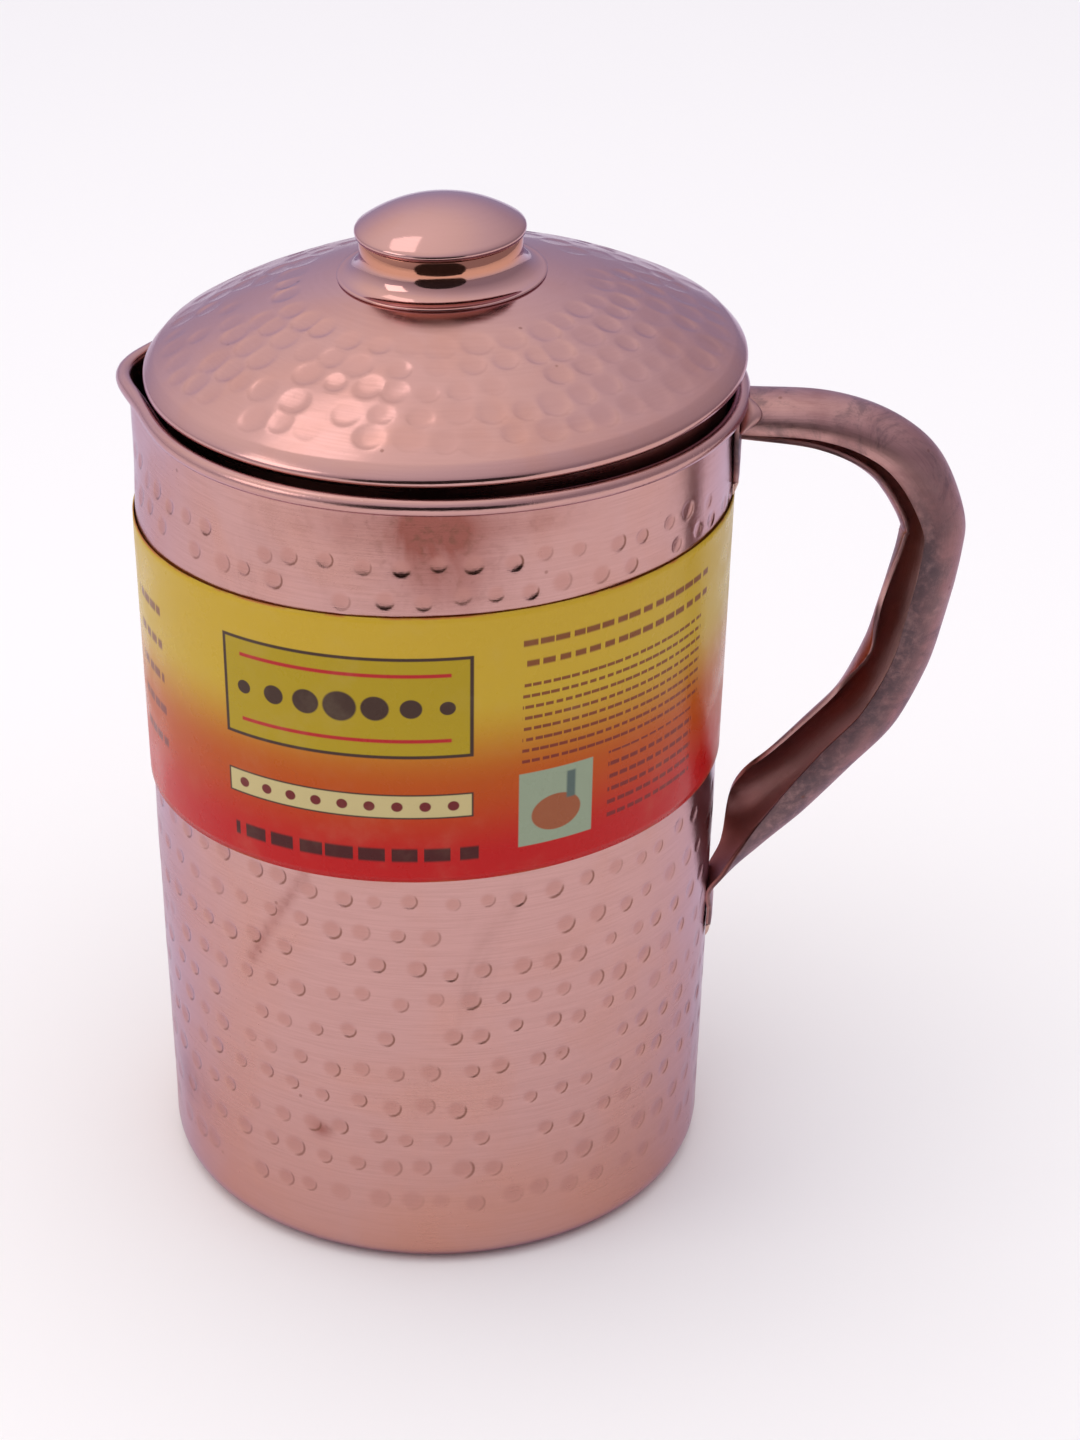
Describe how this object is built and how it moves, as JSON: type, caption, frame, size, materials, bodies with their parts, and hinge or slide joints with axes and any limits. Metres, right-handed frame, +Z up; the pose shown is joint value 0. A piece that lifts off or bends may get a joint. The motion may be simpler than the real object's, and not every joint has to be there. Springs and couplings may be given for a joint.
{
  "type": "copper water jug",
  "caption": "Tall hammered copper water jug with a pouring lip, a rolled rim, an open channel handle, a paper label band and a loose domed lid with a flat knob.",
  "frame": {"origin": "centre of the jug's flat base", "axes": "+Z up along the jug's axis, +X towards the handle, -X towards the pouring lip"},
  "size_m": [0.1736, 0.1282, 0.2166],
  "materials": {
    "hammered_copper": "polished copper sheet, hammered",
    "plain_copper": "polished copper sheet, spun smooth",
    "tarnished_copper": "copper strip, brushed and lightly tarnished",
    "braze": "dull pale brazing metal",
    "screw_brass": "turned brass",
    "label_paper": "glossy printed paper, yellow to red"
  },
  "bodies": {
    "jug": {"jug_body": "hammered_copper", "label": "label_paper", "handle_strip": "tarnished_copper", "braze_top": "braze", "braze_foot": "braze"},
    "lid": {"lid_shell": "hammered_copper", "lid_collar": "plain_copper", "knob_neck": "plain_copper", "knob_cap": "plain_copper", "knob_bush": "screw_brass", "knob_screw": "screw_brass"}
  },
  "joints": [
    {"name": "lid_lift", "type": "slide", "parent": "jug", "child": "lid", "axis": [0, 0, 1], "range_m": [0, 0.06]}
  ]
}
